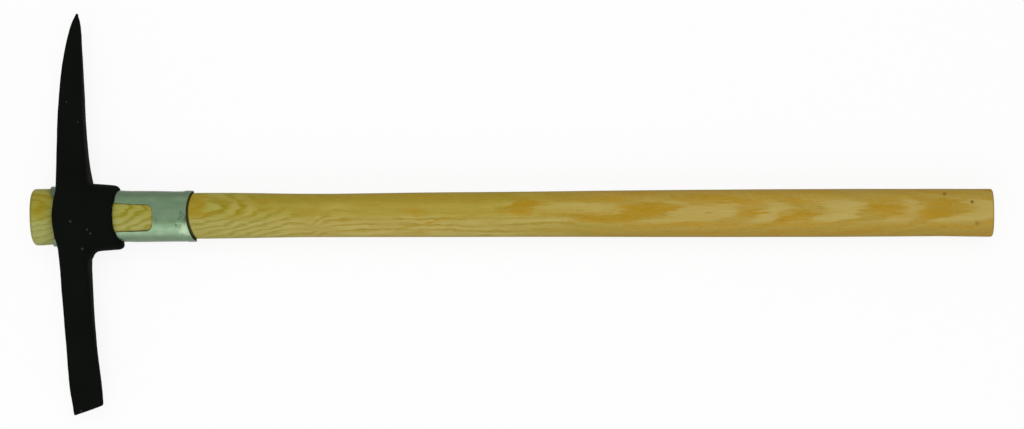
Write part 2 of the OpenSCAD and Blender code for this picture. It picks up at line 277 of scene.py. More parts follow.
def make_handle():
    """The wood as one fine loft with rounded ends and flat end faces."""
    bm = bmesh.new()

    def ring(x, inset, share=1.0):
        half = wood_height(x) / 2
        points = []
        for i in range(WOOD_SIDES):
            a = 2 * math.pi * i / WOOD_SIDES
            y, z = oval_point(a, half - inset, half * DEPTH_SHARE - inset)
            waver = WOOD_WAVER * noise.noise((x / WOOD_WAVER_LENGTH, WOOD_WAVER_TURN * math.cos(a),
                                              WOOD_WAVER_TURN * math.sin(a)))
            y = share * (y + waver * math.cos(a))
            z = share * (z + waver * math.sin(a))
            y = spread_height(WOOD_SPREAD, x, y, half)
            points.append(bm.verts.new(in_frame(leaned(x, y), y, z)))
        return points

    stations = wood_stations()
    first, last = stations[0], stations[-1]
    rings = [ring(*first, s) for s in CAP_SHARES]
    rings += [ring(x, inset) for x, inset in stations]
    rings += [ring(*last, s) for s in reversed(CAP_SHARES)]
    for lower, upper in zip(rings, rings[1:]):
        for i in range(WOOD_SIDES):
            j = (i + 1) % WOOD_SIDES
            bm.faces.new((lower[i], lower[j], upper[j], upper[i]))
    for end, x in ((rings[0], first[0]), (rings[-1], last[0])):
        middle = bm.verts.new(in_frame(leaned(x, 0), 0, 0))
        for i in range(WOOD_SIDES):
            bm.faces.new((end[i], end[(i + 1) % WOOD_SIDES], middle))
    return new_piece("ash_handle", bm)


def sleeve_half(x):
    """Half the height of the sleeve's inside."""
    throat = THROAT_HEIGHT / 2 + SLEEVE_FIT
    if x < THROAT:
        return mix(END_HEIGHT / 2 + LEG_GAP, throat, (x - TIP) / (THROAT - TIP))
    return mix(throat, RIM_HEIGHT / 2 + RIM_GAP, (x - THROAT) / (RIM - THROAT))


def rim_swell(x):
    return RIM_SWELL * ease(clamp((x - RIM + RIM_BAND) / RIM_FLANK))


def sheet_dent(x, y, z):
    """How far dents and waver draw in a point of the sheet."""
    dent = 0.0
    if z > 0:
        for sizes in DENTS:
            station, at_y, radius, deep = (size * MM for size in sizes)
            dent += deep * math.exp(-((x - station) ** 2 + (y - at_y) ** 2) / radius ** 2)
    place = (x / SHEET_WAVER_LENGTH, y / SHEET_WAVER_HEIGHT, math.copysign(1.0, z))
    return dent + SHEET_WAVER * noise.noise(place)


def sleeve_point(x, skin, angle=None, y=None, front=True):
    """A point of the sheet, by its angle round the oval or by its height over the middle.

    The skin is the sheet's thickness on the outside and 0 on the inside.
    """
    half = sleeve_half(x)
    height = half + skin + rim_swell(x)
    depth = half * DEPTH_SHARE + skin + rim_swell(x)
    if angle is None:
        z = depth * (1 - (abs(y) / height) ** OVAL_POWER) ** (1 / OVAL_POWER)
        z = z if front else -z
    else:
        y, z = oval_point(angle, height, depth)
    dip_start = WINDOW_END + WINDOW_CORNER
    to_rim = ease(clamp((x - dip_start) / (RIM - RIM_BAND - dip_start)))
    dent = sheet_dent(x, y, z) * min(1.0, abs(z) / (SIDE_FADE * depth))
    lean = LEG_LEAN * (1 - clamp((x - TIP) / (THROAT - TIP))) + RIM_LEAN * to_rim
    dip = RIM_DIP * to_rim * (z / depth) ** 2
    y = spread_height(SHEET_SPREAD, x, y, height)
    return in_frame(x - lean * y - dip, y, z - math.copysign(dent, z))


def leg_half(x):
    """Half the window's height at a station: its edges swing out towards the tips."""
    flare = clamp((CORNER_START - x) / (CORNER_START - FLARE_START)) ** FLARE_POWER
    return WINDOW_HALF + LEG_FLARE * flare


def sleeve_rows():
    """Rows that run along the handle, in order round the sheet.

    Each has a way to a point, its stations, and whether a cut follows it. The stations go along the
    legs, round the windows' corners and along the ring, and are None where a window is.
    """
    inner = WINDOW_HALF - WINDOW_CORNER
    ring = [mix(WINDOW_END, RIM, i / RING_COLUMNS) for i in range(RING_COLUMNS + 1)]

    def corner(start):
        return [mix(start, WINDOW_END, i / CORNER_COLUMNS) for i in range(CORNER_COLUMNS)]

    rows = []

    def leg(middle, drop):
        for i in range(LEG_ROWS + 1):
            share = 1 - 2 * i / LEG_ROWS
            tip = TIP + TIP_CUT + TIP_ROUND * abs(share) ** TIP_POWER
            legs = [mix(tip, CORNER_START, c / LEG_COLUMNS) for c in range(LEG_COLUMNS)]

            def point(x, skin, share=share):
                height = sleeve_half(x) + skin + rim_swell(x)
                widest = math.acos(((leg_half(x) + drop) / height) ** (OVAL_POWER / 2))
                return sleeve_point(x, skin, angle=middle + share * widest)
            rows.append((point, legs + corner(CORNER_START) + ring, False))

    def face(front):
        turn = [math.pi / 2 * (1 - i / CORNER_COLUMNS) for i in range(1, CORNER_COLUMNS)]
        rounded = [(inner + WINDOW_CORNER * math.sin(a), CORNER_START + WINDOW_CORNER * math.cos(a))
                   for a in turn]
        flat = [(mix(inner, -inner, i / FACE_ROWS), None) for i in range(FACE_ROWS + 1)]
        heights = rounded + flat + [(-y, start) for y, start in reversed(rounded)]
        lines = [(y - WINDOW_DROP, start, False) for y, start in heights]
        if front:
            lines.reverse()
        else:
            lines = [line for line in lines if abs(line[0]) > 2 * SEAM_HALF]
            lines += [(SEAM_HALF, None, True), (-SEAM_HALF, None, False)]
            lines.sort(key=lambda line: -line[0])
        for y, start, cut in lines:
            gone = [None] * (LEG_COLUMNS if start else LEG_COLUMNS + CORNER_COLUMNS)
            stations = gone + (corner(start) if start else []) + ring
            rows.append((lambda x, skin, y=y: sleeve_point(x, skin, y=y, front=front), stations, cut))

    leg(0.0, -WINDOW_DROP)
    face(False)
    leg(math.pi, WINDOW_DROP)
    face(True)
    return rows


def sheet_faces(rows, grid):
    """Corners of the faces between a grid's rows, with none in the windows and the seam."""
    faces = []
    ring_start = LEG_COLUMNS + CORNER_COLUMNS
    for r, (_, _, cut) in enumerate(rows):
        if cut:
            continue
        one, two = grid[r], grid[(r + 1) % len(rows)]
        for c in range(len(one) - 1):
            corners = (one[c], one[c + 1], two[c + 1], two[c])
            if all(corners):
                faces.append(corners)
            elif c >= LEG_COLUMNS and one[c]:
                faces.append((one[c], one[c + 1], two[ring_start]))
            elif c >= LEG_COLUMNS and two[c]:
                faces.append((two[c + 1], two[c], one[ring_start]))
    faces = [tuple(dict.fromkeys(f)) for f in faces]
    return [f for f in faces if len(f) > 2]


def make_sleeve():
    """The bent sheet: an outside and an inside grid, joined round the rim, the windows and the seam."""
    bm = bmesh.new()
    rows = sleeve_rows()
    outside, inside = ([[None if x is None else bm.verts.new(point(x, skin)) for x in stations]
                        for point, stations, _ in rows] for skin in (SHEET, 0.0))
    partner = {a: b for one, two in zip(outside, inside) for a, b in zip(one, two) if a}
    faces = sheet_faces(rows, outside)
    for f in faces:
        bm.faces.new(f)
    border = [e for e in bm.edges if len(e.link_faces) == 1]
    for f in faces:
        bm.faces.new([partner[v] for v in reversed(f)])
    for e in border:
        a, b = e.verts
        bm.faces.new((a, b, partner[b], partner[a]))
    sleeve = new_piece("zinc_sleeve", bm)
    edge = sleeve.modifiers.new("edges", "BEVEL")
    edge.width = EDGE_BREAK
    edge.segments = EDGE_STEPS
    edge.limit_method = "ANGLE"
    edge.angle_limit = EDGE_ANGLE
    apply_modifiers(sleeve)
    return sleeve


def melt_share(point):
    """How much a point of the head melts: most near the eye and in the cutter's inner corner."""
    away = abs(point.y - AXIS_Y)
    past_arms = point.x - HEAD_LOW.x - COLLAR_START
    by_eye = 1 - ease(clamp((away - EYE_REACH) / EYE_FADE))
    by_eye *= 1 - COLLAR_KEPT * ease(clamp(past_arms / COLLAR_FADE))
    to_corner = (Vector((point.x - WOOD_LOW.x, point.y - AXIS_Y)) - Vector(CUTTER_CORNER)).length
    return max(by_eye, 1 - ease(clamp(to_corner / CORNER_REACH)))


def bore_share(point):
    """1 on the wall of the eye's bore, 0 on the rest of the head, and between them on the lips."""
    half = sleeve_half(point.x - WOOD_LOW.x)
    up = abs(point.y - AXIS_Y) / (half + SHEET + BORE_REACH)
    out = abs(point.z - AXIS_Z) / (half * DEPTH_SHARE + SHEET + BORE_REACH)
    return clamp((1 - up ** OVAL_POWER - out ** OVAL_POWER) / BORE_EDGE)


def spread_head(mesh):
    """Moves the edges of the head out or in, and what lies between them along with them."""
    edges = {}
    for v in mesh.vertices:
        row = math.floor((v.co.y - AXIS_Y) / SPREAD_STEP)
        for near in (row, row + 1):
            low, high = edges.get(near, (v.co.x, v.co.x))
            edges[near] = (min(low, v.co.x), max(high, v.co.x))
    for v in mesh.vertices:
        height = v.co.y - AXIS_Y
        row = math.floor(height / SPREAD_STEP)
        t = height / SPREAD_STEP - row
        low, high = (mix(a, b, t) for a, b in zip(edges[row], edges[row + 1]))
        right, left = spread_at(HEAD_SPREAD, height)
        v.co.x += mix(-left, right, clamp((v.co.x - low) / (high - low)))


def roughen(mesh):
    """Gives the head a forged skin, and its bore some room."""
    normals = [v.normal.copy() for v in mesh.vertices]
    for v, n in zip(mesh.vertices, normals):
        swells, pits = noise.noise(v.co / SWELL_LENGTH), noise.noise(v.co / PIT_LENGTH)
        waver = FORGE_WAVER * (swells + PIT_SHARE * pits)
        v.co += n * mix(waver, -BORE_ROOM, bore_share(v.co))


def smooth(piece, name, steps):
    modifier = piece.modifiers.new(name, "SMOOTH")
    modifier.factor = SMOOTHING
    modifier.iterations = steps
    return modifier


def make_head():
    """The head's solid with its joins melted together as a forging's are, and a slightly uneven skin."""
    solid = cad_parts["pick_head"]
    head = bpy.data.objects.new("forged_head", solid.data.copy())
    bpy.context.scene.collection.objects.link(head)
    head.data.materials.clear()
    voxels = head.modifiers.new("voxels", "REMESH")
    voxels.mode = "VOXEL"
    voxels.voxel_size = HEAD_VOXEL
    apply_modifiers(head)
    melted = head.vertex_groups.new(name="melted")
    for v in head.data.vertices:
        melted.add([v.index], melt_share(v.co), "REPLACE")
    smooth(head, "melt", MELT_STEPS).vertex_group = "melted"
    smooth(head, "soften", SOFTEN_STEPS)
    apply_modifiers(head)
    head.vertex_groups.clear()
    spread_head(head.data)
    roughen(head.data)
    head.data.polygons.foreach_set("use_smooth", [True] * len(head.data.polygons))
    return head


class Nodes:
    """A material's nodes, added one call at a time."""

    def __init__(self, name):
        self.material = bpy.data.materials.new(name)
        self.material.use_nodes = True
        self.tree = self.material.node_tree
        self.shader = self.tree.nodes["Principled BSDF"]
        self.place = self.new("ShaderNodeTexCoord").outputs["Object"]

    def new(self, kind, **settings):
        node = self.tree.nodes.new(kind)
        for key, value in settings.items():
            setattr(node, key, value)
        return node

    def put(self, socket, value):
        if isinstance(value, bpy.types.NodeSocket):
            self.tree.links.new(value, socket)
        else:
            socket.default_value = value

    def math(self, operation, *values, limited=False):
        node = self.new("ShaderNodeMath", operation=operation, use_clamp=limited)
        for socket, value in zip(node.inputs, values):
            self.put(socket, value)
        return node.outputs[0]

    def plus(self, a, b, limited=False):
        return self.math("ADD", a, b, limited=limited)

    def minus(self, a, b, limited=False):
        return self.math("SUBTRACT", a, b, limited=limited)

    def times(self, a, b):
        return self.math("MULTIPLY", a, b)

    def swing(self, value, amount):
        """Noise from 0 to 1 as a number that swings by an amount round 0."""
        return self.times(self.minus(value, 0.5), amount)

    def towards(self, a, b, share):
        return self.plus(a, self.times(self.minus(b, a), share))

    def split(self, vector):
        node = self.new("ShaderNodeSeparateXYZ")
        self.put(node.inputs[0], vector)
        return node.outputs

    def length(self, x, y):
        join = self.new("ShaderNodeCombineXYZ")
        for socket, value in zip(join.inputs, (x, y, 0.0)):
            self.put(socket, value)
        node = self.new("ShaderNodeVectorMath", operation="LENGTH")
        self.put(node.inputs[0], join.outputs[0])
        return node.outputs["Value"]

    def scaled(self, sizes, shift=(0, 0, 0)):
        """The place counted in steps of the given sizes along X, Y and Z, in millimetres."""
        node = self.new("ShaderNodeMapping")
        self.put(node.inputs["Vector"], self.place)
        node.inputs["Scale"].default_value = [1 / (s * MM) for s in sizes]
        node.inputs["Location"].default_value = shift
        return node.outputs[0]

    def noise(self, sizes, detail=2.0, rough=0.5, shift=(0, 0, 0)):
        node = self.new("ShaderNodeTexNoise")
        self.put(node.inputs["Vector"], self.scaled(sizes, shift))
        node.inputs["Scale"].default_value = 1.0
        node.inputs["Detail"].default_value = detail
        node.inputs["Roughness"].default_value = rough
        return node.outputs["Fac"]

    def ramp(self, factor, low, high):
        """A number between two pairs of place and result."""
        node = self.new("ShaderNodeValToRGB")
        node.color_ramp.interpolation = "LINEAR"
        self.put(node.inputs[0], factor)
        for element, (position, value) in zip(node.color_ramp.elements, (low, high)):
            element.position = position
            element.color = (value, value, value, 1)
        return node.outputs[0]

    def blend(self, factor, a, b, mode="MIX"):
        node = self.new("ShaderNodeMix", data_type="RGBA", blend_type=mode)
        self.put(node.inputs[0], factor)
        self.put(node.inputs[6], a)
        self.put(node.inputs[7], b)
        return node.outputs[2]

    def bump(self, height, strength, distance):
        node = self.new("ShaderNodeBump")
        self.put(node.inputs["Height"], height)
        node.inputs["Strength"].default_value = strength
        node.inputs["Distance"].default_value = distance
        self.put(self.shader.inputs["Normal"], node.outputs[0])

    def span(self, value, low, high, out_low=0.0, out_high=1.0, smooth=True):
        """The value's place between two limits, as a number that stays between two others."""
        node = self.new("ShaderNodeMapRange", interpolation_type="SMOOTHSTEP" if smooth else "LINEAR")
        for socket, entry in zip(node.inputs, (value, low, high, out_low, out_high)):
            self.put(socket, entry)
        return node.outputs[0]

    def zone(self, value, low, high, out_low=0.0, out_high=1.0):
        """The same between two limits in millimetres."""
        return self.span(value, low * MM, high * MM, out_low, out_high)

    def curve(self, value, points):
        """A smooth line through points of value and result."""
        low, high = points[0][0], points[-1][0]
        results = [p[1] for p in points]
        least, most = min(results), max(results)
        node = self.new("ShaderNodeFloatCurve")
        line = node.mapping.curves[0].points
        places = [((v - low) / (high - low), (r - least) / (most - least)) for v, r in points]
        line[0].location, line[1].location = places[0], places[-1]
        for place in places[1:-1]:
            line.new(*place)
        node.mapping.update()
        self.put(node.inputs["Value"], self.span(value, low, high, smooth=False))
        return self.span(node.outputs[0], 0.0, 1.0, least, most, smooth=False)

    def spot(self, station, height, radius, squash=1.0):
        """1 at a place on the front face, given in millimetres, and 0 beyond a radius round it."""
        x, y, z = self.split(self.place)
        from_x = self.minus(x, WOOD_LOW.x + station * MM)
        from_y = self.times(self.minus(y, AXIS_Y + height * MM), squash)
        away = self.math("DIVIDE", self.length(from_x, from_y), radius * MM)
        inside = self.minus(1.0, away, limited=True)
        return self.times(inside, self.math("GREATER_THAN", z, AXIS_Z))

    def near(self, centre, radius):
        """1 at a point and 0 beyond a radius round it."""
        node = self.new("ShaderNodeVectorMath", operation="DISTANCE")
        self.put(node.inputs[0], self.place)
        node.inputs[1].default_value = centre
        away = self.math("DIVIDE", node.outputs["Value"], radius)
        return self.minus(1.0, away, limited=True)

    def part_place(self):
        """Station, height over the middle and depth from the middle."""
        x, y, z = self.split(self.place)
        return self.minus(x, WOOD_LOW.x), self.minus(y, AXIS_Y), self.minus(z, AXIS_Z)

    def set(self, **inputs):
        for key, value in inputs.items():
            self.put(self.shader.inputs[key.replace("_", " ")], value)


# Ash. Rings counted along the front face, by station in millimetres: whole ones are pale, halves are brown
RING_COUNTS = [
    (0, -5.95), (10, -5.6), (32, -4.75), (60, -4.4), (85, -4.1), (103, -3.05), (121, -2.07), (150.7, -1.1),
    (158, -0.72), (165.5, -0.5), (171, -0.25), (177, 0), (186, 0.22), (193.5, 0.5), (201, 1), (210.8, 1.5),
    (219.4, 2), (230.1, 2.5), (240.7, 3), (251.3, 3.5), (263.8, 4), (274.4, 4.5), (290, 5), (311.7, 5.2),
    (460, 5.2), (470, 5.32), (480, 5.5), (489, 5.7), (500, 5.93), (535, 6), (565, 6.15), (588, 6.5),
    (612, 6.75), (640, 6.95), (668, 7.08), (683, 7.3), (707, 7.7), (717, 8), (732, 8.3), (762, 8.7),
    (782, 9), (803.5, 9.3), (833.7, 9.7), (842.5, 10), (854, 10.3), (896, 10.7), (912, 11), (916.7, 11.1),
]
# Rings crossed away from the grain's crest, by height over the middle: towards the head, along the grip
STRIPED = [
    (-30, 6.4), (-20, 4.5), (-16.6, 3.8), (-14.1, 3.3), (-11.8, 2.8), (-8.9, 2.3), (-6.1, 1.8), (-3.2, 1.3),
    (-0.3, 0.8), (5, 0.28), (10.5, 0), (15, 0.3), (20, 1.0), (30, 3),
]
CATHEDRAL = [
    (-30, 3.6), (-18, 1.7), (-14, 1.1), (-10, 0.6), (-6, 0.25), (-2, 0.07), (3, 0), (8, 0.07), (12, 0.28),
    (16, 0.7), (20, 1.3), (30, 3),
]
# How much of that counts, by station
STRIPE_SHARES = [(0, 1), (32, 0.95), (90, 0.75), (122, 0.7), (165, 1), (916.7, 1)]
# How brown the wood is through one ring: towards the head, and along the grip
HEAD_RING = [(0, 0.04), (0.26, 0.16), (0.42, 0.88), (0.53, 1), (0.74, 0.52), (0.91, 0.14), (1, 0.04)]
GRIP_RING = [
    (0, 0.04), (0.18, 0.14), (0.3, 0.75), (0.42, 1), (0.6, 1), (0.72, 0.75), (0.84, 0.14), (1, 0.04),
]
RING_DEPTH = 3.0 * MM
SECTION_STATIONS = [
    0, 10, 19.5, 45, 70, 97.7, 128, 158.5, 190, 225, 260, 291.7, 400, 500, 600, 716.7, 800, 916.7,
]
# Ways in which the rings wander: sizes in millimetres, rings, shift, detail
WIDE_WANDER = ((140, 22, 22), 0.6, (3.1, 0.7, 5.2), 1.0)
BENT_WANDER = ((38, 6, 6), 0.7, (1.4, 6.3, 2.2), 1.0)
BROKEN_WANDER = ((13, 4, 4), 0.8, (7.7, 2.4, 0.9), 1.0)
RAGGED_WANDER = ((22, 1.3, 1.3), 0.36, (8.8, 4.4, 1.7), 2.0)
END_BENT = 0.3
# An eddy in the grain of the front face: station, height and depth, radius, rings
EDDY = (272.7 * MM, -9.1 * MM, 13 * MM)
EDDY_RADIUS = 26 * MM
EDDY_TURNS = 1.4
# Noises in the wood: sizes in millimetres, detail, roughness, shift
FIBRE = ((34, 0.6, 0.6), 3.0, 0.6)
FINE_FIBRE = ((16, 0.24, 0.24), 2.0, 0.6, (4.2, 1.9, 7.3))
FADED = ((48, 9, 9), 1.0, 0.5, (6.6, 3.3, 1.1))
CLOUD = ((55, 7, 7), 3.0, 0.55, (2.7, 9.1, 0.4))
TONGUES = ((15, 1.7, 1.7), 2.0, 0.5, (1.1, 8.2, 3.9))
PORES = ((6, 0.24, 0.24), 1.0)
# Where the end faces turn into the sides, by the normal's share along X
END_TURN = (0.9, 0.6)
# Stretches of the wood, in millimetres: stations where the grain, the strips, the tints and the painted edge
# shade come and go
GRIP_CHANGE = (432, 602)
LOW_CHANGE = (640, 500)
STRIP_START = (420, 540)
UPPER_STRIP_START = (168, 235)
OUTER_START = (480, 580)
HEAD_END_CHANGE = (360, 50)
STUB_END = (60, 40)
# The same by height over the middle, by distance from the crest of the grip's grain, and by depth
LOW_SIDE = (2, -7)
UPPER_STRIP = (9, 15, 0.0, 0.75)
CREST = 2 * MM
CREST_STRIP = (8, 13, 0.0, 0.8)
# Painted shade towards the upper and lower edges, by distance from the crest
CREST_OUTER = (13, 20, 0.0, 0.3)
STRIP_TONE = 0.85
# Painted shade on the narrow sides, by depth
NARROW_EDGE = (8, 2, 0.0, 0.3)
# Stretches where the rings fade: from station, to station, from height, to height, brownness, share
CALM_STRETCHES = [
    (219, 268, -3, 3, 0.6, 0.5), (310, 442, -3, 3, 0.42, 0.75), (150, 285, 6, -2, 0.4, 0.2),
]
CALM_FADE = 12
# Blots where they fade too: the tone that they fade to, how much behind and past the sleeve, and on the grip
FADED_TONE = 0.45
FADED_LIMITS = (0.4, 0.62)
FADING = (140, 170, 0.2, 0.8)
GRIP_FADING = 0.62
# How much the fibres streak the rings
STREAK_SHARE = 0.55
# Pin knots on the front face: station, height over the middle, radius and darkness
PIN_KNOTS = [(871.2, 17.3, 1.4, 0.5), (896.1, 9.7, 1.15, 0.75), (900.6, -10.0, 1.5, 0.35)]
KNOT_REACH, KNOT_UNEVEN, KNOT_LIMITS = 3, 0.35, (0.4, 0.75)
# Orange patches on the front face: station, height over the middle, half length, length over height, share
ORANGE_PATCHES = [
    (160.5, 11.0, 15.0, 1.0, 0.75), (10.0, 10.5, 13.0, 1.0, 0.45), (369.0, 4.5, 12.0, 4.0, 0.4),
    (378.0, 1.0, 10.0, 3.0, 0.45), (475.0, 5.5, 14.0, 1.7, 0.65), (488.0, 10.5, 13.0, 4.0, 0.55),
    (464.0, 2.5, 13.0, 5.0, 0.5), (556.0, -3.5, 42.0, 9.0, 0.8), (586.0, 0.5, 25.0, 4.5, 0.75),
    (600.0, 6.5, 34.0, 6.0, 0.75), (640.0, 13.0, 34.0, 7.0, 0.5), (733.0, -1.0, 16.0, 2.5, 0.5),
    (819.0, 4.0, 17.0, 1.9, 0.4), (874.0, 5.0, 25.0, 2.8, 0.6),
]
PATCH_REACH, PATCH_CLOUD, PATCH_TONGUES, PATCH_EVEN, PATCH_LIMITS = 1.5, 0.7, 1.1, 0.9, (0.2, 0.6)
# Colours of the wood, with painted shade for its upper and lower edges, its narrow sides, the edge of its
# head end and the stub by the head, grime with painted shadow in the sleeve's rim gap, and painted shadow
# along the sleeve's windows
WOOD = palette(
    pale_head=(179, 162, 76), pale_grip=(185, 164, 90), pale_low=(183, 166, 92),
    brown_head=(154, 131, 23), brown_grip=(168, 140, 50), brown_cloud=(176, 137, 34),
    brown_low=(160, 140, 52), cloud=(168, 135, 41), fibre=(146, 120, 44), fine=(190, 172, 104),
    orange=(169, 133, 26), outer=(150, 120, 40), stub_low=(150, 168, 108), stub_shade=(78, 86, 40),
    end_edge=(84, 88, 34), narrow=(104, 84, 28), grime=(26, 28, 8), window=(62, 60, 22),
    pore=(108, 80, 26), cut_pale=(150, 128, 66), cut_brown=(92, 68, 24), knot=(84, 56, 14),
)
HEAD_END_TINT = (0.8, 0.97, 1.02, 1.0)
# Where they show, by noise: from, to, least share, most share
BROWN_CLOUD = (0.4, 0.6)
CLOUD_SHOWN = (0.5, 0.75, 0.0, 0.4)
FIBRE_SHOWN = (0.45, 0.8, 0.0, 0.2)
FINE_SHOWN = (0.55, 0.8, 0.0, 0.2)
PORES_SHOWN = (0.6, 0.68, 0.0, 0.5)
PORES_BY_TONE = (0.25, 0.9, 0.25, 1.0)
# How much of their own colours the end faces take
CUT_SHARE = 0.5
# Where they show at the head end, by height or station in millimetres; the darkening at the end's edge is
# painted shade of its rounding
STUB_LOW = (-2, -10, 0.0, 0.28)
STUB_SHADE = (13, 25, 0.0, 0.35)
END_EDGE = (5, 1, 0.0, 0.35)
# Grime and painted shadow on the wood past the sleeve's rim, and painted shadow along its windows, in
# millimetres
RIM_DIRT = (1.5, 0.5, 0.0, 0.92)
RIM_DIRT_START = (-9, -6)
RIM_DIRT_MORE = (2, -18, 0.0, 0.8 * MM)
WINDOW_DIRT = (1.2, 0.1, 0.0, 0.75)
WINDOW_DIRT_START, WINDOW_DIRT_END = (60, 80), (128, 124)
# Gloss and relief of the wood
WOOD_GLOSS = 0.12
WOOD_ROUGHNESS = (0.3, 0.7, 0.48, 0.62)
FINE_RELIEF = 0.5
WOOD_RELIEF = (0.3, 0.2 * MM)


def in_metres(points):
    return [(value * MM, result) for value, result in points]


def under_front(n, station, height, depth):
    """How far a point of the wood lies under the front face, straight down."""
    half = n.curve(station, [(s * MM, wood_height(s * MM) / 2) for s in SECTION_STATIONS])
    share = n.math("DIVIDE", n.math("ABSOLUTE", height), half)
    rest = n.minus(1.0, n.math("POWER", share, OVAL_POWER), limited=True)
    front = n.times(n.times(half, DEPTH_SHARE), n.math("POWER", rest, 1 / OVAL_POWER))
    return n.minus(front, depth)


def ring_turns(n, station, height, depth, grip, side):
    """Rings passed on the way to a point. They run through the wood and out at its ends."""
    crossed = n.towards(n.curve(height, in_metres(STRIPED)), n.curve(height, in_metres(CATHEDRAL)), grip)
    crossed = n.times(crossed, n.curve(station, in_metres(STRIPE_SHARES)))
    turns = n.plus(n.curve(station, in_metres(RING_COUNTS)), crossed)
    turns = n.plus(turns, n.math("DIVIDE", under_front(n, station, height, depth), RING_DEPTH))

    def wander(sizes, amount, shift, detail):
        return n.swing(n.noise(sizes, detail, shift=shift), amount)
    ragged = n.times(wander(*RAGGED_WANDER), side)
    bent = n.times(wander(*BENT_WANDER), n.span(side, 0.0, 1.0, END_BENT, 1.0))
    broken = n.times(n.times(wander(*BROKEN_WANDER), n.minus(1.0, grip)), side)
    for extra in (wander(*WIDE_WANDER), bent, broken, ragged):
        turns = n.plus(turns, extra)
    eddy = n.near(in_frame(*EDDY), EDDY_RADIUS)
    return n.minus(turns, n.times(n.times(eddy, eddy), EDDY_TURNS))


def from_crest(n, height):
    return n.math("ABSOLUTE", n.minus(height, CREST))


def ash_tone(n, station, height, depth, grip, side, fibre):
    """How brown the wood is, by its rings and by where they fade."""
    passed = n.math("FRACT", ring_turns(n, station, height, depth, grip, side))
    tone = n.towards(n.curve(passed, HEAD_RING), n.curve(passed, GRIP_RING), grip)
    tone = n.plus(tone, n.swing(fibre, n.times(side, STREAK_SHARE)), limited=True)
    for start, end, bottom, top, level, share in CALM_STRETCHES:
        calm = n.times(n.zone(station, start - CALM_FADE, start + CALM_FADE),
                       n.zone(station, end + CALM_FADE, end - CALM_FADE))
        tone = n.towards(tone, level, n.times(calm, n.zone(height, bottom, top, 0.0, share)))
    fading = n.times(n.zone(station, *FADING), n.span(grip, 0.0, 1.0, 1.0, GRIP_FADING))
    tone = n.towards(tone, FADED_TONE, n.times(n.span(n.noise(*FADED), *FADED_LIMITS), fading))
    strip = n.times(n.zone(from_crest(n, height), *CREST_STRIP), n.zone(station, *STRIP_START))
    upper = n.times(n.zone(height, *UPPER_STRIP), n.zone(station, *UPPER_STRIP_START))
    return n.towards(tone, STRIP_TONE, n.times(n.math("MAXIMUM", strip, upper), side))


def ring_color(n, station, height, grip, tone, cloud):
    """The colour of the rings, which differs towards the head, below and along the grip."""
    low = n.times(n.zone(height, *LOW_SIDE), n.zone(station, *LOW_CHANGE))
    pale = n.blend(grip, WOOD["pale_head"], WOOD["pale_grip"])
    pale = n.blend(low, pale, WOOD["pale_low"])
    brown = n.blend(n.span(cloud, *BROWN_CLOUD), WOOD["brown_grip"], WOOD["brown_cloud"])
    brown = n.blend(grip, WOOD["brown_head"], brown)
    brown = n.blend(low, brown, WOOD["brown_low"])
    return n.blend(tone, pale, brown)


def orange_patches(n, color, cloud):
    uneven = n.plus(n.times(cloud, PATCH_CLOUD), n.times(n.noise(*TONGUES), PATCH_TONGUES))
    uneven = n.minus(uneven, PATCH_EVEN)
    for at, over, size, slim, share in ORANGE_PATCHES:
        spot = n.plus(n.spot(at, over, PATCH_REACH * size, slim), uneven)
        color = n.blend(n.span(spot, *PATCH_LIMITS, 0.0, share), color, WOOD["orange"])
    return color


def tinted(n, color, station, height, depth):
    """The colour with what changes along the handle, and with painted shade towards its edges and its head
    end.
    """
    color = n.blend(n.zone(station, *HEAD_END_CHANGE), color, HEAD_END_TINT, "MULTIPLY")
    # Painted shade towards the upper and lower edges along the grip
    outer = n.times(n.zone(from_crest(n, height), *CREST_OUTER), n.zone(station, *OUTER_START))
    color = n.blend(outer, color, WOOD["outer"])
    stub = n.zone(station, *STUB_END)
    color = n.blend(n.times(stub, n.zone(height, *STUB_LOW)), color, WOOD["stub_low"])
    color = n.blend(n.times(stub, n.zone(station, *STUB_SHADE)), color, WOOD["stub_shade"])
    # Painted shade at the rounded edge of the head end
    color = n.blend(n.zone(station, *END_EDGE), color, WOOD["end_edge"])
    # Painted shade darkens the narrow sides
    return n.blend(n.zone(n.math("ABSOLUTE", depth), *NARROW_EDGE), color, WOOD["narrow"])


def rim_dirt(n, station, height, depth):
    """Grime and painted shadow on the wood in the gap at the sleeve's rim and just past it."""
    rim_edge = n.times(n.times(depth, depth), RIM_DIP / RIM_DEPTH ** 2)
    past_rim = n.plus(n.minus(station, RIM), rim_edge)
    past_rim = n.plus(past_rim, n.times(height, RIM_LEAN))
    past_gap = n.minus(past_rim, n.zone(height, *RIM_DIRT_MORE))
    return n.times(n.zone(past_gap, *RIM_DIRT), n.zone(past_rim, *RIM_DIRT_START))


def window_dirt(n, station, height):
    """Painted shadow of the sheet's edge on the wood along the sleeve's windows."""
    flare = n.math("POWER", n.span(station, CORNER_START, FLARE_START, smooth=False), FLARE_POWER)
    beside = n.minus(n.math("ABSOLUTE", n.plus(height, WINDOW_DROP)),
                     n.plus(n.times(flare, LEG_FLARE), WINDOW_HALF - WINDOW_CORNER))
    to_corner = n.length(n.math("MAXIMUM", n.minus(station, CORNER_START), 0.0),
                         n.math("MAXIMUM", beside, 0.0))
    inside = n.minus(WINDOW_CORNER, to_corner)
    along = n.times(n.zone(station, *WINDOW_DIRT_START), n.zone(station, *WINDOW_DIRT_END))
    return n.times(n.zone(inside, *WINDOW_DIRT), along)


def pin_knots(n, color, fibre):
    for at, over, size, dark in PIN_KNOTS:
        spot = n.plus(n.spot(at, over, KNOT_REACH * size), n.swing(fibre, KNOT_UNEVEN))
        color = n.blend(n.span(spot, *KNOT_LIMITS, 0.0, dark), color, WOOD["knot"])
    return color


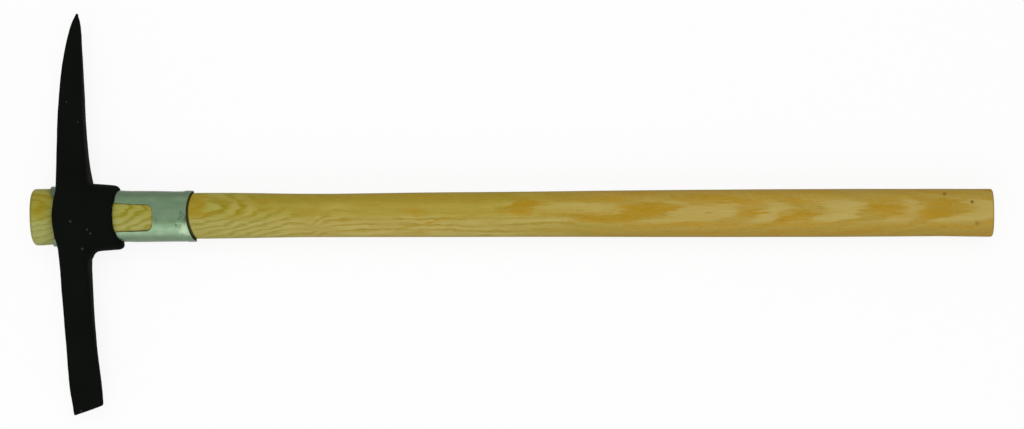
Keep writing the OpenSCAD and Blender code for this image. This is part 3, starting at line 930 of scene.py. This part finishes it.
def ash():
    n = Nodes("ash_wood")
    station, height, depth = n.part_place()
    facing = n.math("ABSOLUTE", n.split(n.new("ShaderNodeNewGeometry").outputs["Normal"])[0])
    side = n.span(facing, *END_TURN)
    grip = n.zone(station, *GRIP_CHANGE)
    fibre, fine, cloud = n.noise(*FIBRE), n.noise(*FINE_FIBRE), n.noise(*CLOUD)
    tone = ash_tone(n, station, height, depth, grip, side, fibre)

    color = ring_color(n, station, height, grip, tone, cloud)
    color = n.blend(n.span(cloud, *CLOUD_SHOWN), color, WOOD["cloud"])
    color = n.blend(n.span(fibre, *FIBRE_SHOWN), color, WOOD["fibre"])
    color = n.blend(n.span(fine, *FINE_SHOWN), color, WOOD["fine"])
    color = orange_patches(n, color, cloud)
    color = tinted(n, color, station, height, depth)
    # Grime and painted shadow in the gap at the sleeve's rim
    color = n.blend(rim_dirt(n, station, height, depth), color, WOOD["grime"])
    # Painted shadow of the sheet's edge along the windows
    color = n.blend(window_dirt(n, station, height), color, WOOD["window"])
    porous = n.times(n.span(tone, *PORES_BY_TONE), n.span(n.noise(*PORES), *PORES_SHOWN))
    color = n.blend(porous, color, WOOD["pore"])
    cut = n.times(n.minus(1.0, side), CUT_SHARE)
    color = n.blend(cut, color, n.blend(tone, WOOD["cut_pale"], WOOD["cut_brown"]))
    color = pin_knots(n, color, fibre)

    n.set(Base_Color=color, Specular_IOR_Level=WOOD_GLOSS, Roughness=n.span(fibre, *WOOD_ROUGHNESS))
    relief = n.plus(fibre, n.times(fine, FINE_RELIEF))
    n.bump(n.minus(relief, porous), *WOOD_RELIEF)
    return n.material


# Galvanised sheet. Noises: sizes in millimetres, detail, roughness, shift
SPANGLE = (7, 7, 7)
STAIN = ((22, 9, 9), 4.0, 0.6)
SCUFF = ((3, 0.7, 0.7), 3.0, 0.6)
BLOT = ((1.6, 1.2, 1.2), 3.0, 0.65, (5.1, 2.2, 8.4))
# Sheet colours include painted shade for the narrow sides, the upper side and the legs' tips, painted light
# for the lower side and a painted highlight by the dents
ZINC = palette(
    dark=(104, 128, 99), light=(117, 140, 112), spangle=(94, 116, 90), scuff=(84, 98, 80),
    narrow=(70, 84, 64), upper=(84, 98, 78), lower=(136, 156, 132), tip=(58, 72, 46),
    pale_mark=(168, 186, 158), dark_mark=(40, 48, 38),
)
# Where they show, by noise: from, to, least share, most share
STAIN_SHOWN = (0.3, 0.7)
SPANGLE_SHARE = 0.2
SCUFF_SHOWN = (0.62, 0.8, 0.0, 0.25)
# Where they show by depth, by height and by station, in millimetres. Painted shade darkens the narrow sides,
# the upper side and the legs' tips under the head, and painted light brightens the lower side
SHEET_NARROW = (13, 3, 0.0, 0.6)
SHEET_UPPER = (16, 20, 0.0, 0.4)
SHEET_LOWER = (-14, -19, 0.0, 0.3)
SHEET_TIP = (42, 28)
SHEET_TIP_BY_HEIGHT = (-10, 10, 0.15, 0.6)
# Marks on the sheet's front: station, height over the middle, radius, squash, paleness (under 0: darkness).
# The pale one is a painted highlight by the dents
SHEET_MARKS = [
    (143.7, -8.6, 1.3, 1.3, -0.55), (150.5, -13.6, 4.2, 1.0, 0.45), (153.0, -2.0, 2.0, 0.7, -0.5),
    (148.2, 3.6, 1.1, 0.8, -0.45), (146.3, -2.8, 1.1, 1.6, -0.4), (124.0, -4.5, 1.6, 0.7, -0.22),
]
MARK_REACH, MARK_UNEVEN, MARK_LIMITS = 2.5, 1.4, (0.3, 0.9)
# Gloss and relief of the sheet
GLOSS_SPANGLE, GLOSS_STAIN = 0.3, 0.7
SHEET_ROUGHNESS = (0.2, 0.8, 0.3, 0.42)
RELIEF_STAIN, RELIEF_SCUFF = 0.6, 0.2
SHEET_RELIEF = (0.3, 0.25 * MM)


def sheet_marks(n, color):
    blot = n.noise(*BLOT)
    for at, over, size, squash, mark in SHEET_MARKS:
        spot = n.plus(n.spot(at, over, MARK_REACH * size, squash), n.swing(blot, MARK_UNEVEN))
        shown = n.span(spot, *MARK_LIMITS, 0.0, abs(mark))
        # A pale mark is a painted highlight
        color = n.blend(shown, color, ZINC["pale_mark" if mark > 0 else "dark_mark"])
    return color


def zinc():
    n = Nodes("galvanised_sheet")
    station, height, depth = n.part_place()
    spangle = n.new("ShaderNodeTexVoronoi", feature="F1")
    n.put(spangle.inputs["Vector"], n.scaled(SPANGLE))
    spangle.inputs["Scale"].default_value = 1.0
    cell = n.split(spangle.outputs["Color"])[0]
    stain, scuff = n.noise(*STAIN), n.noise(*SCUFF)

    color = n.blend(n.span(stain, *STAIN_SHOWN), ZINC["dark"], ZINC["light"])
    color = n.blend(n.times(cell, SPANGLE_SHARE), color, ZINC["spangle"])
    color = n.blend(n.span(scuff, *SCUFF_SHOWN), color, ZINC["scuff"])
    # Painted shade on the narrow sides and the upper side, painted light on the lower side
    color = n.blend(n.zone(n.math("ABSOLUTE", depth), *SHEET_NARROW), color, ZINC["narrow"])
    color = n.blend(n.zone(height, *SHEET_UPPER), color, ZINC["upper"])
    color = n.blend(n.zone(height, *SHEET_LOWER), color, ZINC["lower"])
    # Painted shadow of the head on the legs' tips
    dull = n.times(n.zone(station, *SHEET_TIP), n.zone(height, *SHEET_TIP_BY_HEIGHT))
    color = n.blend(dull, color, ZINC["tip"])
    color = sheet_marks(n, color)

    gloss = n.plus(n.times(cell, GLOSS_SPANGLE), n.times(stain, GLOSS_STAIN))
    n.set(Base_Color=color, Metallic=1.0, Roughness=n.span(gloss, *SHEET_ROUGHNESS))
    n.bump(n.plus(n.times(stain, RELIEF_STAIN), n.times(scuff, RELIEF_SCUFF)), *SHEET_RELIEF)
    return n.material


# Black paint. Noises: sizes in millimetres, detail, roughness
PAINT_CLOUD = ((30, 30, 30), 4.0, 0.6)
PEEL = ((1.6, 1.6, 1.6), 2.0, 0.5)
SCALE = ((6, 6, 6), 3.0, 0.6)
DUST = ((0.9, 0.9, 0.9), 2.0)
PAINT = palette(
    dark=(10, 13, 10), light=(17, 20, 15), dust=(60, 64, 58), worn=(36, 38, 35), speck=(66, 74, 68),
)
# Where dust shows, by noise, and wear with a painted edge highlight, by how sharp an edge is and by noise
DUST_SHOWN = ((0.74, 0.0), (0.8, 0.4))
WORN_EDGE = (0.53, 0.6)
WORN_BY_SCALE = (0.3, 0.7, 0.1, 0.6)
# Pale specks on the front of the head: station, height over the middle, size
SPECKS = [
    (43.3, -4.6, 0.9), (58.8, -12.5, 0.8), (61.7, -16.3, 0.8), (52.9, -31.0, 1.0), (47.0, -187.8, 0.8),
    (36.2, 110.3, 0.6), (47.2, 90.9, 0.6),
]
SPECK_REACH, SPECK_UNEVEN, SPECK_SHOWN = 2.4, 0.7, (0.3, 0.9, 0.0, 0.7)
# Gloss and relief of the paint
PAINT_GLOSS = 0.007
PAINT_ROUGHNESS = ((0.3, 0.5), (0.7, 0.66))
RELIEF_PEEL = 0.4
PAINT_RELIEF = (0.45, 0.3 * MM)


def black_paint():
    n = Nodes("black_paint")
    cloud, peel, scale, dust = (n.noise(*layer) for layer in (PAINT_CLOUD, PEEL, SCALE, DUST))
    color = n.blend(cloud, PAINT["dark"], PAINT["light"])
    color = n.blend(n.ramp(dust, *DUST_SHOWN), color, PAINT["dust"])
    # Wear and a painted highlight on sharp edges
    edge = n.new("ShaderNodeNewGeometry").outputs["Pointiness"]
    worn = n.times(n.span(edge, *WORN_EDGE), n.span(scale, *WORN_BY_SCALE))
    color = n.blend(worn, color, PAINT["worn"])
    for station, height, size in SPECKS:
        spot = n.plus(n.spot(station, height, SPECK_REACH * size), n.swing(dust, SPECK_UNEVEN))
        color = n.blend(n.span(spot, *SPECK_SHOWN), color, PAINT["speck"])
    n.set(Base_Color=color, Specular_IOR_Level=PAINT_GLOSS, Roughness=n.ramp(cloud, *PAINT_ROUGHNESS))
    n.bump(n.plus(n.times(peel, RELIEF_PEEL), scale), *PAINT_RELIEF)
    return n.material


# Nails
NAIL_GRIME = ((3, 3, 3), 3.0, 0.5)
NAIL_CLEAN, NAIL_DIRTY = srgb(112, 130, 106), srgb(78, 92, 74)
NAIL_GRIME_SHOWN = ((0.35, 0.0), (0.7, 1.0))
NAIL_METALLIC = 0.9
NAIL_ROUGHNESS = ((0.3, 0.38), (0.7, 0.55))
NAIL_RELIEF = (0.3, 0.1 * MM)


def nail_steel():
    n = Nodes("nail_steel")
    grime = n.noise(*NAIL_GRIME)
    n.set(Base_Color=n.blend(n.ramp(grime, *NAIL_GRIME_SHOWN), NAIL_CLEAN, NAIL_DIRTY),
          Metallic=NAIL_METALLIC, Roughness=n.ramp(grime, *NAIL_ROUGHNESS))
    n.bump(grime, *NAIL_RELIEF)
    return n.material


def dress(piece, material, body, node):
    piece.data.materials.clear()
    piece.data.materials.append(material)
    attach(piece, body)
    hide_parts(node)


dress(make_handle(), ash(), "handle", "handle")
dress(make_sleeve(), zinc(), "handle", "sleeve")
dress(make_head(), black_paint(), "head", "pick_head")
steel = nail_steel()
for node in ("nail_front", "nail_rear"):
    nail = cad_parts[node]
    for material_slot in nail.material_slots:
        material_slot.material = steel


# Floor: level with the underside of the head's eye, which rests on it wherever the head stands on the handle
FLOOR_SIZE = 14.0
FLOOR_COLOR = (0.95, 0.95, 0.95, 1)
FLOOR_GLOW = 0.88
# Light from all round
WHITE = (1, 1, 1, 1)
WORLD_LIGHT = 0.45


def seen_directly(tree):
    """1 for what the camera sees, straight on, in a reflection or through glass."""
    seen = tree.nodes.new("ShaderNodeLightPath")
    total = seen.outputs["Is Camera Ray"]
    for ray in ("Is Glossy Ray", "Is Transmission Ray"):
        either = tree.nodes.new("ShaderNodeMath")
        either.operation = "MAXIMUM"
        tree.links.new(total, either.inputs[0])
        tree.links.new(seen.outputs[ray], either.inputs[1])
        total = either.outputs[0]
    return total


def floor_material():
    """A pale floor that glows white to the camera and still shows the object's shadow."""
    material = bpy.data.materials.new("pale_floor")
    material.use_nodes = True
    tree = material.node_tree
    tree.nodes.clear()
    out = tree.nodes.new("ShaderNodeOutputMaterial")
    plain = tree.nodes.new("ShaderNodeBsdfDiffuse")
    plain.inputs["Color"].default_value = FLOOR_COLOR
    glow = tree.nodes.new("ShaderNodeEmission")
    glow.inputs["Color"].default_value = WHITE
    glow.inputs["Strength"].default_value = 1.0
    amount = tree.nodes.new("ShaderNodeMath")
    amount.operation = "MULTIPLY"
    tree.links.new(seen_directly(tree), amount.inputs[0])
    amount.inputs[1].default_value = FLOOR_GLOW
    both = tree.nodes.new("ShaderNodeMixShader")
    tree.links.new(amount.outputs[0], both.inputs[0])
    tree.links.new(plain.outputs[0], both.inputs[1])
    tree.links.new(glow.outputs[0], both.inputs[2])
    tree.links.new(both.outputs[0], out.inputs["Surface"])
    return material


def make_floor():
    bm = bmesh.new()
    bmesh.ops.create_grid(bm, x_segments=1, y_segments=1, size=FLOOR_SIZE / 2)
    floor = new_piece("floor", bm)
    floor.location.z = HEAD_LOW.z
    floor.data.materials.append(floor_material())


def make_world():
    """A white surround that lights the object softly and is plain white to the camera."""
    world = bpy.data.worlds.new("studio")
    bpy.context.scene.world = world
    world.use_nodes = True
    tree = world.node_tree
    back = tree.nodes["Background"]
    back.inputs["Color"].default_value = WHITE
    strength = tree.nodes.new("ShaderNodeMapRange")
    tree.links.new(seen_directly(tree), strength.inputs["Value"])
    strength.inputs["To Min"].default_value = WORLD_LIGHT
    strength.inputs["To Max"].default_value = 1.0
    tree.links.new(strength.outputs[0], back.inputs["Strength"])


# Soft lamps: name, place, width, height, power, whether they show in reflections
LAMPS = [
    ("side", (-0.3, -1.36, 1.5), 2.4, 1.4, 14, True),
    ("front", (0.1, 0.8, 2.4), 2.4, 1.6, 26, False),
]
LAMP_AIM = (0, 0, AXIS_Z)


def make_lights():
    for name, place, width, height, power, reflected in LAMPS:
        lamp = bpy.data.lights.new(name, "AREA")
        lamp.shape = "RECTANGLE"
        lamp.size = width
        lamp.size_y = height
        lamp.energy = power
        box = bpy.data.objects.new(name, lamp)
        box.location = place
        box.rotation_euler = (Vector(LAMP_AIM) - Vector(place)).to_track_quat("-Z", "Y").to_euler()
        box.visible_glossy = reflected
        bpy.context.scene.collection.objects.link(box)


# Camera: fitted to the outlines in the photograph
PHOTO_WIDTH = 1024
FOCAL_PX = 2213.4
SENSOR = 36.0
CAMERA_DISTANCE = 2.110
CAMERA_YAW = math.radians(4.0)
CAMERA_ROLL = math.radians(0.267)
CAMERA_FAR = 100
AIM_STATION = 464.56 * MM


def make_camera():
    camera = bpy.data.cameras.new("camera")
    camera.sensor_width = SENSOR
    camera.lens = FOCAL_PX / PHOTO_WIDTH * SENSOR
    camera.clip_end = CAMERA_FAR
    holder = bpy.data.objects.new("camera", camera)
    bpy.context.scene.collection.objects.link(holder)
    right = Vector((math.cos(CAMERA_YAW), 0, -math.sin(CAMERA_YAW)))
    up = Vector((0, 1, 0))
    back = right.cross(up)
    turned = right * math.cos(CAMERA_ROLL) - up * math.sin(CAMERA_ROLL)
    upright = right * math.sin(CAMERA_ROLL) + up * math.cos(CAMERA_ROLL)
    pose = Matrix((turned, upright, back)).transposed().to_4x4()
    pose.translation = in_frame(AIM_STATION, 0, 0) + back * CAMERA_DISTANCE
    holder.matrix_world = pose
    bpy.context.scene.camera = holder


make_floor()
make_world()
make_lights()
make_camera()
bpy.context.scene.view_settings.view_transform = "Standard"
